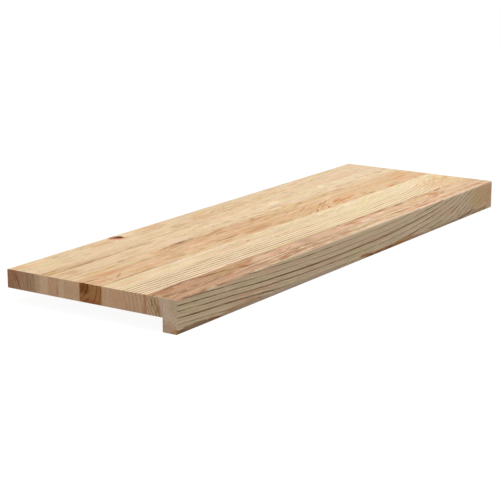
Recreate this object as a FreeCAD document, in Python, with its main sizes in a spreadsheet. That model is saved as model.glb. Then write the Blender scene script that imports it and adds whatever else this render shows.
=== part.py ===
import FreeCAD, Part
import Sketcher
import os

# Stair tread: a board glued up edge to edge from six solid wood staves, with a deeper nosing strip
# glued to its front edge. The nosing hangs below the board, so the tread caps the edge of a step:
# the board lies on the step and the back of the nosing bears on the riser.
# +X runs along the tread, +Y from the nosing to the back edge and +Z up. The origin is on the level
# of the nosing's foot, in the middle of the tread's length and depth.

# Driving sizes in millimetres, each with what it measures
SIZES = {
    "tread_length": (800.0, "along the front edge"),
    "tread_depth": (250.0, "front of the nosing to the back edge"),
    "board_thickness": (23.0, "top face to underside"),
    "nosing_thickness": (20.0, "front to back"),
    "nosing_height": (40.0, "top face to foot"),
    "stave_2_width": (38.0, "glue line to glue line"),
    "stave_3_width": (23.0, "glue line to glue line"),
    "stave_4_width": (32.5, "glue line to glue line"),
    "stave_5_width": (65.0, "glue line to glue line"),
    "stave_6_width": (21.5, "glue line to glue line"),
    "nose_round": (2.5, "radius of the top front edge, where a foot lands"),
    "foot_round": (1.0, "radius of the bottom edges of the nosing"),
    "back_round": (1.0, "radius of the two back edges"),
    "end_round": (0.5, "radius of the sanded edges at both sawn ends"),
}
SHEET = "Sizes"
STAVE_COUNT = 6
TOUCH = 1e-4

# How a sketch names the ends of a line, and its own origin
LINE_START, LINE_END = 1, 2
SKETCH_ORIGIN = (-1, 1)
# The side of a sketch's rectangle before its sizes are bound
ROUGH = 10.0


def sized(name):
    """A driving size, as expressions name it."""
    return f"{SHEET}.{name}"


def add_sheet(doc):
    """The spreadsheet that holds every driving size."""
    sheet = doc.addObject("Spreadsheet::Sheet", SHEET)
    for row, (alias, (value, note)) in enumerate(SIZES.items(), start=1):
        sheet.set(f"A{row}", alias)
        sheet.set(f"B{row}", str(value))
        sheet.setAlias(f"B{row}", alias)
        sheet.set(f"C{row}", note)
    doc.recompute()
    return sheet


def origin_plane(body, role):
    """One of a body's own origin planes."""
    return next(f for f in body.Origin.OriginFeatures if f.Role == role)


def section_sketch(body, width, height, ledge=None):
    """A rectangle on the end plane, from the body's origin to +Y and +Z, with its sides bound.

    A ledge is the height at which the back side is split into a bare face and a glued one."""
    sketch = body.newObject("Sketcher::SketchObject", f"{body.Name}_section")
    sketch.AttachmentSupport = [(origin_plane(body, "YZ_Plane"), "")]
    sketch.MapMode = "FlatFace"
    corners = [(0, 0), (ROUGH, 0), (ROUGH, ROUGH), (0, ROUGH)]
    if ledge is not None:
        corners.insert(2, (ROUGH, ROUGH / 2))
    points = [FreeCAD.Vector(*corner, 0) for corner in corners]
    for start, end in zip(points, points[1:] + points[:1]):
        sketch.addGeometry(Part.LineSegment(start, end), False)
    sides = range(len(points))
    bottom, back, top, front = sides[0], sides[1], sides[-2], sides[-1]
    sketch.addConstraint(Sketcher.Constraint("Coincident", bottom, LINE_START, *SKETCH_ORIGIN))
    for side in sides:
        following = (side + 1) % len(sides)
        joined = (side, LINE_END, following, LINE_START)
        sketch.addConstraint(Sketcher.Constraint("Coincident", *joined))
        way = "Horizontal" if side in (bottom, top) else "Vertical"
        sketch.addConstraint(Sketcher.Constraint(way, side))
    bound = [("width", bottom, width), ("height", front, height)]
    if ledge is not None:
        bound.append(("ledge", back, ledge))
    for name, side, expression in bound:
        index = sketch.addConstraint(Sketcher.Constraint("Distance", side, ROUGH))
        sketch.renameConstraint(index, name)
        sketch.setExpression(f"Constraints.{name}", expression)
    return sketch


def add_strip(doc, label, width, height, front, underside, ledge=None):
    """A sawn strip as long as the tread: a padded section, placed by its front face and underside."""
    body = doc.addObject("PartDesign::Body", label)
    body.Label = label
    sketch = section_sketch(body, width, height, ledge)
    pad = body.newObject("PartDesign::Pad", f"{label}_length")
    pad.Profile = sketch
    pad.Refine = ledge is None
    pad.SideType = "Symmetric"
    pad.setExpression("Length", sized("tread_length"))
    body.setExpression("Placement.Base.y", front)
    body.setExpression("Placement.Base.z", underside)
    doc.recompute()
    return body


def round_edges(doc, body, name, radius, wanted):
    """Rounds the edges of a strip that wanted picks by their middle point and direction."""
    tip = body.Tip
    picked = []
    for number, edge in enumerate(tip.Shape.Edges, start=1):
        middle = (edge.FirstParameter + edge.LastParameter) / 2
        if wanted(edge.valueAt(middle), edge.tangentAt(middle)):
            picked.append(f"Edge{number}")
    fillet = body.newObject("PartDesign::Fillet", f"{body.Name}_{name}")
    fillet.Refine = tip.Refine
    fillet.Base = (tip, picked)
    fillet.setExpression("Radius", sized(radius))
    doc.recompute()
    return fillet


def runs_along(*corners):
    """Picks the long edges through these corners (y, z) of the section."""
    return lambda point, way: (
        abs(abs(way.x) - 1) < TOUCH
        and any(abs(point.y - y) < TOUCH and abs(point.z - z) < TOUCH for y, z in corners)
    )


def open_at_ends(half_length, glued):
    """Picks the edges of both sawn ends, apart from the upright ones on a glue line."""
    return lambda point, way: (
        abs(abs(point.x) - half_length) < TOUCH
        and not (abs(abs(way.z) - 1) < TOUCH and any(abs(point.y - y) < TOUCH for y in glued))
    )


def board_underside():
    """How high the board's underside lies above the nosing's foot."""
    return f"{sized('nosing_height')} - {sized('board_thickness')}"


def add_nosing(doc, sheet):
    """The front strip: flush with the board's top, deeper than the board, eased where feet land.

    Its back is glued to the board above the ledge, and bears on the riser below it."""
    body = add_strip(
        doc,
        "nosing",
        width=sized("nosing_thickness"),
        height=sized("nosing_height"),
        front=f"-{sized('tread_depth')} / 2",
        underside="0",
        ledge=board_underside(),
    )
    thickness, height = sheet.nosing_thickness, sheet.nosing_height
    round_edges(doc, body, "nose", "nose_round", runs_along((0, height)))
    round_edges(doc, body, "foot", "foot_round", runs_along((0, 0), (thickness, 0)))
    round_edges(doc, body, "ends", "end_round", open_at_ends(sheet.tread_length / 2, [thickness]))
    return body


def stave_width(number):
    """The width of a stave. The back one is ripped to bring the tread to its depth."""
    if number > 1:
        return sized(f"stave_{number}_width")
    others = [sized(f"stave_{n}_width") for n in range(2, STAVE_COUNT + 1)]
    return " - ".join([sized("tread_depth"), sized("nosing_thickness"), *others])


def stave_front(number):
    """Where a stave's front glue line lies: behind the nosing and the staves before it."""
    ahead = [stave_width(n) for n in range(number + 1, STAVE_COUNT + 1)]
    return " + ".join([f"-{sized('tread_depth')} / 2", sized("nosing_thickness"), *ahead])


def add_stave(doc, sheet, number):
    """One stave of the board. Stave 1 is at the back and has the board's open back edge."""
    body = add_strip(
        doc,
        f"stave_{number}",
        width=stave_width(number),
        height=sized("board_thickness"),
        front=stave_front(number),
        underside=board_underside(),
    )
    width = body.Shape.BoundBox.YLength
    at_back = number == 1
    if at_back:
        back_edges = runs_along((width, 0), (width, sheet.board_thickness))
        round_edges(doc, body, "back", "back_round", back_edges)
    glued = [0] if at_back else [0, width]
    round_edges(doc, body, "ends", "end_round", open_at_ends(sheet.tread_length / 2, glued))
    return body


def check(doc, bodies):
    """Stops before anything is written if an object failed or a piece isn't one valid solid."""
    for item in doc.Objects:
        if {"Invalid", "Error"} & set(item.State):
            raise RuntimeError(f"{item.Label} failed: {item.State}")
        if item.TypeId == "Sketcher::SketchObject" and not item.FullyConstrained:
            raise RuntimeError(f"{item.Label} is not fully constrained")
    for body in bodies:
        shape = body.Shape
        if shape.isNull() or not shape.isValid() or len(shape.Solids) != 1:
            raise RuntimeError(f"{body.Label} is not one valid solid")


def main():
    doc = FreeCAD.newDocument("stair_tread")
    sheet = add_sheet(doc)
    bodies = [add_nosing(doc, sheet)]
    bodies += [add_stave(doc, sheet, number) for number in range(STAVE_COUNT, 0, -1)]
    doc.recompute()
    check(doc, bodies)
    os.makedirs("parts", exist_ok=True)
    for body in bodies:
        body.Shape.exportStep(f"parts/{body.Label}.step")
        box = body.Shape.BoundBox
        print(
            f"{body.Label}: y {box.YMin:.2f} to {box.YMax:.2f}, z {box.ZMin:.2f} to {box.ZMax:.2f}, "
            f"{body.Shape.Volume / 1000:.2f} cm3"
        )


main()
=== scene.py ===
"""Finishes the stair tread: oak strips glued edge to edge, with a deeper nosing strip in front.

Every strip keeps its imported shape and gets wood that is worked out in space. Growth rings lie round a
pith, vessels run along the strip and rays cross the rings, so a line that runs along the top turns over
the arris and down the sawn end, as it does in a real piece of timber.

Places on the tread are in millimetres: along, from the left end; across, from the back edge to the
front; and down, from the top face.
"""

import logging
import math
from dataclasses import dataclass, fields
from enum import Enum

import bmesh
import bpy
from mathutils import Euler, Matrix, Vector


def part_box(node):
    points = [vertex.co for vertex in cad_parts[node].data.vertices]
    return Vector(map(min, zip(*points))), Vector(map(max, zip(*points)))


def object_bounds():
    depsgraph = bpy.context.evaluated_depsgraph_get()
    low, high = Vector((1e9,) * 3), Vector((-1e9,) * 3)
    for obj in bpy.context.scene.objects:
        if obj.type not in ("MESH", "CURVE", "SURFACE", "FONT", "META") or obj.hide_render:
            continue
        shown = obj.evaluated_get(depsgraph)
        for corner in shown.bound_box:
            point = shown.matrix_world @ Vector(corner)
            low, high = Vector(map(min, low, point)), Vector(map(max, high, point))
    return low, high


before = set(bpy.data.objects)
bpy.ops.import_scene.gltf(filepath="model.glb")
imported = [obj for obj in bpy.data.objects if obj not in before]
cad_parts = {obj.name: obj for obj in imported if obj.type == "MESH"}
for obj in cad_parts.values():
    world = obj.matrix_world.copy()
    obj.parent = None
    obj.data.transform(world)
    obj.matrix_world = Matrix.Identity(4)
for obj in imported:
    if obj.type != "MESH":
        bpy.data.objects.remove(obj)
CAD_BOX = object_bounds()

LOG = logging.getLogger("stair_tread")
MM = 0.001

# The tread's own length and depth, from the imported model, in millimetres
LENGTH = (CAD_BOX[1].x - CAD_BOX[0].x) / MM
DEPTH = (CAD_BOX[1].y - CAD_BOX[0].y) / MM

Point = tuple[float, float]
Colour = tuple[int, int, int]
Shade = tuple[float, float, float, float]
Number = "Wire | float"
Paint = "bpy.types.NodeSocket | Shade"

WHITE: Shade = (1.0, 1.0, 1.0, 1.0)

# The curve between a colour as it is seen and as it is worked out
TOE_END, TOE_SLOPE, CURVE_OFFSET, CURVE_POWER = 0.04045, 12.92, 0.055, 2.4


def linear(colour: Colour) -> Shade:
    """A colour as the shader works with it.

    Args:
        colour: The colour as it is seen, from 0 to 255.

    Returns:
        The linear colour.
    """
    parts = []
    for share in (part / 255 for part in colour):
        if share <= TOE_END:
            parts.append(share / TOE_SLOPE)
        else:
            parts.append(((share + CURVE_OFFSET) / (1.0 + CURVE_OFFSET)) ** CURVE_POWER)
    return (*parts, 1.0)


@dataclass(frozen=True)
class Layer:
    """One layer of the wood's noise.

    Attributes:
        grain: The size of its grain each way, in millimetres.
        seed: How far from the strip's own its part of the endless noise lies.
        detail: How many finer layers it has.
    """

    grain: tuple[float, float, float]
    seed: float
    detail: float = 2.0


class Wire:
    """A number that runs through a node tree, so that shader maths reads as plain maths."""

    def __init__(self, graph: "Graph", socket: bpy.types.NodeSocket) -> None:
        """Wraps an output socket of a node in the graph."""
        self.graph = graph
        self.socket = socket

    def __add__(self, other: Number) -> "Wire":
        """This plus the other."""
        return self.graph.maths("ADD", self, other)

    def __radd__(self, other: float) -> "Wire":
        """The other plus this."""
        return self.graph.maths("ADD", other, self)

    def __sub__(self, other: Number) -> "Wire":
        """This less the other."""
        return self.graph.maths("SUBTRACT", self, other)

    def __rsub__(self, other: float) -> "Wire":
        """The other less this."""
        return self.graph.maths("SUBTRACT", other, self)

    def __mul__(self, other: Number) -> "Wire":
        """This times the other."""
        return self.graph.maths("MULTIPLY", self, other)

    def __rmul__(self, other: float) -> "Wire":
        """The other times this."""
        return self.graph.maths("MULTIPLY", other, self)

    def __truediv__(self, other: Number) -> "Wire":
        """This over the other."""
        return self.graph.maths("DIVIDE", self, other)

    def __pow__(self, other: Number) -> "Wire":
        """This to the power of the other."""
        return self.graph.maths("POWER", self, other)

    def __abs__(self) -> "Wire":
        """This without its sign."""
        return self.graph.maths("ABSOLUTE", self)

    def most(self, other: Number) -> "Wire":
        """The larger of this and the other."""
        return self.graph.maths("MAXIMUM", self, other)

    def fraction(self) -> "Wire":
        """What is left of this above its whole number."""
        return self.graph.maths("FRACT", self)

    def root(self) -> "Wire":
        """The square root of this."""
        return self.graph.maths("SQRT", self)

    def fade(self, none: float, full: float) -> "Wire":
        """A soft step.

        Args:
            none: Where the step is 0.
            full: Where the step is 1, above or below the first.

        Returns:
            The step, from 0 to 1.
        """
        settings = {"interpolation_type": "SMOOTHSTEP"}
        sockets = {"Value": self, "From Min": none, "From Max": full, "To Min": 0.0, "To Max": 1.0}
        return Wire(self.graph, self.graph.node("ShaderNodeMapRange", settings, sockets).outputs[0])


class Graph:
    """Builds the node tree of one material."""

    # A Mix node has sockets for every kind of data, so those of a colour are found by their number
    MIX_FACTOR, MIX_FIRST, MIX_SECOND, MIX_RESULT = 0, 6, 7, 2
    # How far a seed moves a pattern each way
    SEED_STEP = (1.0, 1.7, 2.3)

    def __init__(self, tree: bpy.types.NodeTree) -> None:
        """Starts with an empty tree."""
        self.tree = tree
        tree.nodes.clear()

    def node(self, kind: str, settings: dict | None = None, sockets: dict | None = None) -> bpy.types.Node:
        """Adds a node.

        Args:
            kind: The node's type.
            settings: Its settings, set before its sockets are filled.
            sockets: Values or links for its sockets, by name or number.

        Returns:
            The new node.
        """
        node = self.tree.nodes.new(kind)
        for name, value in (settings or {}).items():
            setattr(node, name, value)
        for name, value in (sockets or {}).items():
            if isinstance(value, Wire):
                value = value.socket
            if isinstance(value, bpy.types.NodeSocket):
                self.tree.links.new(value, node.inputs[name])
            else:
                node.inputs[name].default_value = value
        return node

    def maths(self, operation: str, *numbers: Number) -> Wire:
        """One Math node on one or two numbers."""
        node = self.node("ShaderNodeMath", {"operation": operation}, dict(enumerate(numbers)))
        return Wire(self, node.outputs[0])

    def point(self, *parts: Number) -> bpy.types.NodeSocket:
        """A vector from three numbers."""
        return self.node("ShaderNodeCombineXYZ", {}, dict(enumerate(parts))).outputs[0]

    def scaled(self, point: bpy.types.NodeSocket, layer: Layer, seed: float) -> bpy.types.NodeSocket:
        """A point measured in grains of a layer.

        Args:
            point: The point, in millimetres.
            layer: The layer.
            seed: The strip's own part of the endless noise.

        Returns:
            The socket of the scaled point.
        """
        sockets = {
            "Vector": point,
            "Location": tuple((seed + layer.seed) * step for step in self.SEED_STEP),
            "Scale": tuple(1 / size for size in layer.grain),
        }
        return self.node("ShaderNodeMapping", {"vector_type": "POINT"}, sockets).outputs[0]

    def noise(self, point: bpy.types.NodeSocket, layer: Layer, seed: float) -> Wire:
        """Smooth noise round 0, mostly between -0.5 and 0.5.

        Args:
            point: The point, in millimetres.
            layer: The layer of noise.
            seed: The strip's own part of the endless noise.

        Returns:
            The noise.
        """
        sockets = {"Vector": self.scaled(point, layer, seed), "Scale": 1.0, "Detail": layer.detail}
        noise = self.node("ShaderNodeTexNoise", {"noise_dimensions": "3D"}, sockets)
        return Wire(self, noise.outputs[0]) * 2.0 - 1.0

    def chance(self, number: Wire, seed: float) -> Wire:
        """A number from 0 to 1 that jumps with each whole number.

        Args:
            number: The number whose whole part counts.
            seed: The strip's own part of the endless row.

        Returns:
            What is drawn for it.
        """
        settings = {"noise_dimensions": "1D"}
        sockets = {"W": self.maths("FLOOR", number) + seed}
        return Wire(self, self.node("ShaderNodeTexWhiteNoise", settings, sockets).outputs["Value"])

    def cells(self, point: bpy.types.NodeSocket, layer: Layer, seed: float) -> Wire:
        """How far a point lies from the middle of its cell, in cells.

        Args:
            point: The point, in millimetres.
            layer: The layer of cells.
            seed: The strip's own part of the endless pattern.

        Returns:
            The distance, 0 in the middle.
        """
        settings = {"voronoi_dimensions": "3D", "feature": "F1", "distance": "EUCLIDEAN"}
        sockets = {"Vector": self.scaled(point, layer, seed), "Scale": 1.0, "Randomness": 1.0}
        return Wire(self, self.node("ShaderNodeTexVoronoi", settings, sockets).outputs["Distance"])

    def course(self, value: Wire, points: tuple[Point, ...]) -> Wire:
        """A smooth curve through a few points.

        Args:
            value: What the curve is read at.
            points: The curve's points, from the lowest value to the highest.

        Returns:
            The curve's height there.
        """
        start, span = points[0][0], points[-1][0] - points[0][0]
        low = min(height for _, height in points)
        rise = max(height for _, height in points) - low
        node = self.node("ShaderNodeFloatCurve", {}, {"Value": (value - start) / span})
        curve = node.mapping.curves[0]
        for _ in points[2:]:
            curve.points.new(0.5, 0.5)
        for knob, (place, height) in zip(curve.points, points):
            knob.location = ((place - start) / span, (height - low) / rise)
            knob.handle_type = "AUTO_CLAMPED"
        node.mapping.update()
        return Wire(self, node.outputs[0]) * rise + low

    def mix(self, share: Number, first: Paint, second: Paint, blend: str = "MIX") -> bpy.types.NodeSocket:
        """Mixes two colours.

        Args:
            share: How much of the second colour.
            first: The first colour, or a link to one.
            second: The second colour, or a link to one.
            blend: How the second colour acts on the first.

        Returns:
            The socket of the mixed colour.
        """
        settings = {"data_type": "RGBA", "blend_type": blend, "clamp_factor": True}
        sockets = {self.MIX_FACTOR: share, self.MIX_FIRST: first, self.MIX_SECOND: second}
        return self.node("ShaderNodeMix", settings, sockets).outputs[self.MIX_RESULT]


class Face(Enum):
    """A face that a mark lies in: its two directions, the one into the wood, and how far marks reach."""

    TOP = ("along", "across", "down", 8.0)
    FRONT = ("along", "down", "inward", 2.0)
    LEFT_END = ("across", "down", "along", 1.0)


class Tint(Enum):
    """The tones of streaks and patches: the colour, and whether it stains the wood or covers it."""

    EBONY = ((112, 78, 50), "MULTIPLY")
    UMBER = ((168, 131, 97), "MULTIPLY")
    BARK = ((146, 113, 88), "MULTIPLY")
    RUST = ((212, 160, 126), "MULTIPLY")
    CORAL = ((250, 220, 200), "MULTIPLY")
    CLAY = ((224, 198, 178), "MULTIPLY")
    TAN = ((238, 216, 190), "MULTIPLY")
    HONEY = ((244, 226, 186), "MULTIPLY")
    OLIVE = ((214, 202, 162), "MULTIPLY")
    SMOKE = ((206, 196, 182), "MULTIPLY")
    MINT = ((246, 248, 238), "MULTIPLY")
    CREAM = ((242, 218, 180), "MIX")
    MILK = ((248, 226, 192), "MIX")
    BISCUIT = ((214, 178, 142), "MIX")
    KNOT = ((100, 46, 20), "MIX")
    CHESTNUT = ((176, 98, 74), "MIX")
    FAWN = ((228, 195, 168), "MIX")
    ROAN = ((217, 188, 175), "MULTIPLY")
    SAND = ((228, 203, 168), "MIX")
    DUSK = ((214, 190, 170), "MIX")
    EMBER = ((214, 142, 96), "MIX")
    AMBER = ((222, 164, 96), "MIX")
    BLUSH = ((252, 216, 194), "MIX")


@dataclass(frozen=True)
class Mark:
    """A soft-edged streak or patch of another tone, drawn out along the grain. Two of them are painted
    light: a line of painted shade on the back arris and a painted highlight on the nosing's front arris.

    Attributes:
        at: Its middle, in the two directions of its face.
        half: Half its length and half its width.
        tint: Its tone.
        strength: How strong it is in its middle.
        slope: How far it drops for each millimetre of its length.
        bow: How far its ends bend from its middle.
        core: The share of its size over which it is at its full strength.
        depth: How far it reaches into the wood, where that isn't as far as usual for its face.
    """

    at: Point
    half: Point
    tint: Tint
    strength: float = 1.0
    slope: float = 0.0
    bow: float = 0.0
    core: float = 0.0
    depth: float | None = None


@dataclass(frozen=True)
class Place:
    """Where the shader is on the tread.

    Attributes:
        along: Distance from the left end.
        across: Distance from the back edge.
        down: Depth below the top face.
        inward: Distance behind the front face.
    """

    along: Wire
    across: Wire
    down: Wire
    inward: Wire

    def way(self, name: str) -> Wire:
        """The distance in a named direction."""
        return getattr(self, name)


@dataclass(frozen=True)
class Figure:
    """How the growth rings lie in a strip.

    Attributes:
        pith: Where the middle of the tree lies, across and down, at the left end.
        pitch: The distance between rings.
        first: Where one ring meets the top face, across.
        line: How dark the ring lines are on the long faces.
        width: The share of a ring that its line takes.
        shift: How far the rings move out from the pith, along the strip.
        vigour: How clearly the rings show, along the strip.
        band: The stretch across which they show clearly, with its soft edges.
        crown: How clearly they show on the top face, beside the others.
        foot: How far down they are gone, and how far down they still show fully.
        gleam: How much paler the wood between the lines is.
        twin: How clearly a ring has a second line, along the strip.
        waver: How far the rings stray from their course.
    """

    pith: Point
    pitch: float
    first: float
    line: float
    width: float = 0.36
    shift: tuple[Point, ...] = ()
    vigour: tuple[Point, ...] = ()
    band: tuple[float, float, float, float] | None = None
    crown: float = 1.0
    foot: Point | None = None
    gleam: float = 0.0
    twin: tuple[Point, ...] = ()
    waver: float = 1.0


@dataclass(frozen=True)
class Knot:
    """A small knot that the rings flow round.

    Attributes:
        at: Its middle, along and across.
        half: Half its length and half its width.
        swell: How far it pushes the rings aside.
    """

    at: Point
    half: Point
    swell: float


@dataclass(frozen=True)
class Growth:
    """The wood's own directions at the place that is shaded.

    Attributes:
        through: How far the place is through its ring, from 0 to 1.
        kind: A number from 0 to 1 that differs from ring to ring.
        clear: How clearly the rings show there.
        grown: The place along the tree, out from the pith and round it.
    """

    through: Wire
    kind: Wire
    clear: Number
    grown: bpy.types.NodeSocket


@dataclass(frozen=True)
class Grain:
    """What the wood is made of at the place that is shaded.

    Attributes:
        place: Where the shader is.
        growth: The wood's own directions there.
        sawn: 1 on a sawn end.
        planed: 1 on the long faces.
        line: How far the place is in the open vessels that begin a ring.
        late: How far it is in the faint second line of a ring.
        fibre: Noise of the long fibres.
        streak: Noise of shorter streaks.
        thread: Noise of the finest threads.
        pore: How far it is in an open pore.
        ray: How far it is in a pale ray.
    """

    place: Place
    growth: Growth
    sawn: Wire
    planed: Wire
    line: Wire
    late: Wire
    fibre: Wire
    streak: Wire
    thread: Wire
    pore: Wire
    ray: Wire


@dataclass(frozen=True)
class Timber:
    """The wood of one strip.

    Attributes:
        seed: Which part of the endless patterns is used.
        left: The colour of the long faces at the left end.
        right: Their colour at the right end. The change between the two is partly the wood's own and
            partly a painted brightening towards the right.
        warm: The warmer tone that parts of them tend to.
        blotch: How strongly they do.
        figure: How the growth rings lie.
        end: The colour of the sawn ends.
        end_line: How dark the rings are on the sawn ends.
        ring_tint: The colour of the open vessels that begin a ring.
        grain: How strongly the fibres show.
        top_marks: Streaks and patches in the top.
        front_marks: Those in the front.
        end_marks: Those in the left end.
        knots: Knots.
    """

    seed: float
    left: Colour
    right: Colour
    warm: Colour
    blotch: float
    figure: Figure
    end: Colour
    end_line: float = 0.5
    ring_tint: Colour = (164, 122, 84)
    grain: float = 1.0
    top_marks: tuple[Mark, ...] = ()
    front_marks: tuple[Mark, ...] = ()
    end_marks: tuple[Mark, ...] = ()
    knots: tuple[Knot, ...] = ()

    PORE_TINT = (150, 108, 72)
    RAY_TINT = (246, 226, 196)
    DENSE_TINT = (255, 231, 184)
    GLUE_TINT = (150, 108, 70)
    ROSY = (255, 237, 230)
    GREENISH = (244, 252, 227)

    # Layers of noise: the first two bend the rings, GLUE breaks up the glue lines, and the others follow
    # the rings
    STRAY = Layer((190.0, 26.0, 26.0), 3.1, 1.0)
    WAVER = Layer((26.0, 5.0, 5.0), 4.7)
    FIBRE = Layer((75.0, 1.3, 2.6), 11.3, 3.0)
    STREAK = Layer((20.0, 1.9, 4.0), 13.9, 3.0)
    THREAD = Layer((14.0, 0.32, 0.5), 17.9, 1.0)
    CLOUD = Layer((150.0, 12.0, 18.0), 23.3)
    DRIFT = Layer((48.0, 6.0, 9.0), 25.7)
    HUE = Layer((110.0, 8.0, 12.0), 27.1)
    VESSEL = Layer((7.0, 0.75, 0.75), 31.7)
    RAY = Layer((11.0, 16.0, 0.7), 37.3, 1.0)
    GLUE = Layer((60.0, 1.0, 40.0), 41.9)
    CALM = Layer((210.0, 26.0, 40.0), 43.7, 1.0)

    # Soft steps: where each is 0 and where it is 1. The first three are in millimetres or in squares of
    # a knot's size, the next two in shares of a ring, and the others in what their layer gives.
    SAWN_SKIN = (0.5, 0.2)
    CROWN_SKIN = (3.0, 1.0)
    ROUND_KNOT = (5.0, 0.0)
    LATE_RISE = (0.58, 0.7)
    LATE_FALL = (0.84, 0.74)
    PORE_EDGE = (0.34, 0.14)
    RAY_EDGE = (0.18, 0.5)
    CLOUD_EDGE = (-0.15, 0.45)
    ROSY_EDGE = (0.05, 0.5)
    GREEN_EDGE = (-0.05, -0.5)
    CALM_EDGE = (-0.3, 0.3)

    # The rings: how far they are bent, in millimetres, how clear the faintest one is, and a number that
    # keeps their count above 0
    STRAY_REACH, WAVER_REACH, FAINTEST, COUNT_FROM = 2.6, 0.7, 0.6, 50.0
    # A ring's line: where it has risen and the share of its width from which it fades, what the fibres
    # make of it, and the same for the second line
    LINE_RISEN, LINE_FADES = 0.05, 0.3
    LINE_BASE, LINE_FIBRE, LINE_STREAK = 0.9, 1.5, 1.1
    LATE_SHARE, LATE_FIBRE, LATE_STREAK, LATE_TWIN = 0.6, 0.8, 1.2, 0.3
    # The paler wood between the lines: how soft its two sides are, in shares of a ring
    DENSE_RISE, DENSE_FALL = 0.2, 0.9
    # The hue: how far a ring may differ from the next, and how much of the hue a sawn end loses
    RING_HUE, END_HUE_LOSS = 0.35, 0.6
    # The tone: what each layer adds, how lively it is where it is calm, and how much more elsewhere
    TONE_FIBRE, TONE_STREAK, TONE_THREAD, TONE_DRIFT = 0.16, 0.34, 0.14, 0.13
    LIVELY_LEAST, LIVELY_MORE, END_CALM = 0.45, 0.75, 0.5
    # Pores and rays: how many pores lie between the lines, and how strongly both show
    PORES_BETWEEN, PORE_STRENGTH, RAY_STRENGTH, END_RAY_LOSS = 0.25, 0.8, 0.2, 0.14
    # The frayed edges of marks, and the share of a mark's depth down to which it stays full
    FRAY_FIBRE, FRAY_STREAK, FRAY_OFF_TOP, FULL_DEPTH = 1.3, 1.2, 0.4, 0.4
    # The glue lines: the soft step at their edge, in millimetres, that of the noise that breaks them up,
    # how much of them shows, and how near the tread's own edge a side is open
    GLUE_EDGE, GLUE_SHOWN = (0.35, 0.12), (-0.35, 0.4)
    GLUE_LEAST, GLUE_MORE, END_GLUE_LOSS, OPEN_SIDE = 0.35, 0.55, 0.7, 1.0
    # Gloss, roughness and relief
    GLOSS, BUMP_STRENGTH, BUMP_HEIGHT = 0.03, 0.6, 0.1
    ROUGH_BASE, ROUGH_PORE, ROUGH_FIBRE, ROUGH_SAWN, ROUGH_RAY = 0.62, 0.14, 0.10, 0.06, 0.08
    RELIEF_FIBRE, RELIEF_THREAD, RELIEF_LINE = 0.35, 0.25, 0.35

    def dress(self, node: bpy.types.Object) -> None:
        """Gives a strip its own wood.

        Args:
            node: The strip, with its place in its mesh.
        """
        material = bpy.data.materials.new(f"oak_{node.name}")
        material.use_nodes = True
        graph = Graph(material.node_tree)
        low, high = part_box(node.name)
        sides = ((CAD_BOX[1].y - high.y) / MM, (CAD_BOX[1].y - low.y) / MM)
        place = self.place(graph)
        grain = self.fibres(graph, place, self.growth(graph, place))
        colour = self.ground(graph, grain)
        colour = self.figured(graph, grain, colour)
        colour = self.marked(graph, grain, colour)
        joint = self.joint(graph, place, sides) * (1.0 - self.END_GLUE_LOSS * grain.sawn)
        colour = graph.mix(joint, colour, linear(self.GLUE_TINT), "MULTIPLY")
        relief = {
            "Strength": self.BUMP_STRENGTH,
            "Distance": self.BUMP_HEIGHT * MM,
            "Height": self.relief(grain),
        }
        sockets = {
            "Base Color": colour,
            "Roughness": self.roughness(grain),
            "Normal": graph.node("ShaderNodeBump", {}, relief).outputs[0],
            "Specular IOR Level": self.GLOSS,
        }
        shader = graph.node("ShaderNodeBsdfPrincipled", {}, sockets)
        graph.node("ShaderNodeOutputMaterial", {}, {"Surface": shader.outputs[0]})
        node.data.materials.clear()
        node.data.materials.append(material)

    def place(self, graph: Graph) -> Place:
        """Where the shader is on the tread.

        Args:
            graph: The material's node tree.

        Returns:
            The place, in millimetres.
        """
        coordinate = graph.node("ShaderNodeTexCoord").outputs["Object"]
        parts = graph.node("ShaderNodeSeparateXYZ", {}, {"Vector": coordinate}).outputs
        x, y, z = (Wire(graph, part) for part in parts)
        along = (x - CAD_BOX[0].x) / MM
        across = (CAD_BOX[1].y - y) / MM
        down = (CAD_BOX[1].z - z) / MM
        return Place(along, across, down, DEPTH - across)

    def growth(self, graph: Graph, place: Place) -> Growth:
        """Works out the growth rings.

        Args:
            graph: The material's node tree.
            place: Where the shader is.

        Returns:
            The wood's own directions there.
        """
        figure = self.figure
        spot = graph.point(place.along, place.across, place.down)
        stray = graph.noise(spot, self.STRAY, self.seed) * (self.STRAY_REACH * figure.waver)
        waver = graph.noise(spot, self.WAVER, self.seed) * (self.WAVER_REACH * figure.waver)
        across = place.across - figure.pith[0]
        down = place.down - figure.pith[1]
        radius = (across * across + down * down).root()
        start = math.hypot(figure.first - figure.pith[0], figure.pith[1])
        out = radius - start + stray + waver
        if figure.shift:
            out = out - graph.course(place.along, figure.shift)
        for knot in self.knots:
            run = (place.along - knot.at[0]) / knot.half[0]
            side = (place.across - knot.at[1]) / knot.half[1]
            out = out + (run * run + side * side).fade(*self.ROUND_KNOT) * knot.swell
        clear = 1.0
        if figure.vigour:
            clear = graph.course(place.along, figure.vigour)
        if figure.band:
            none, full, still, gone = figure.band
            clear = clear * (place.across.fade(none, full) * place.across.fade(gone, still))
        if figure.crown != 1.0:
            clear = clear * (1.0 - place.down.fade(*self.CROWN_SKIN) * (1.0 - figure.crown))
        around = graph.maths("ARCTAN2", down, across) * start
        rings = out / figure.pitch + self.COUNT_FROM
        kind = graph.chance(rings, self.seed)
        clear = (self.FAINTEST + (1.0 - self.FAINTEST) * kind) * clear
        if figure.foot:
            clear = clear * place.down.fade(*figure.foot)
        return Growth(rings.fraction(), kind, clear, graph.point(place.along, out, around))

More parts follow.
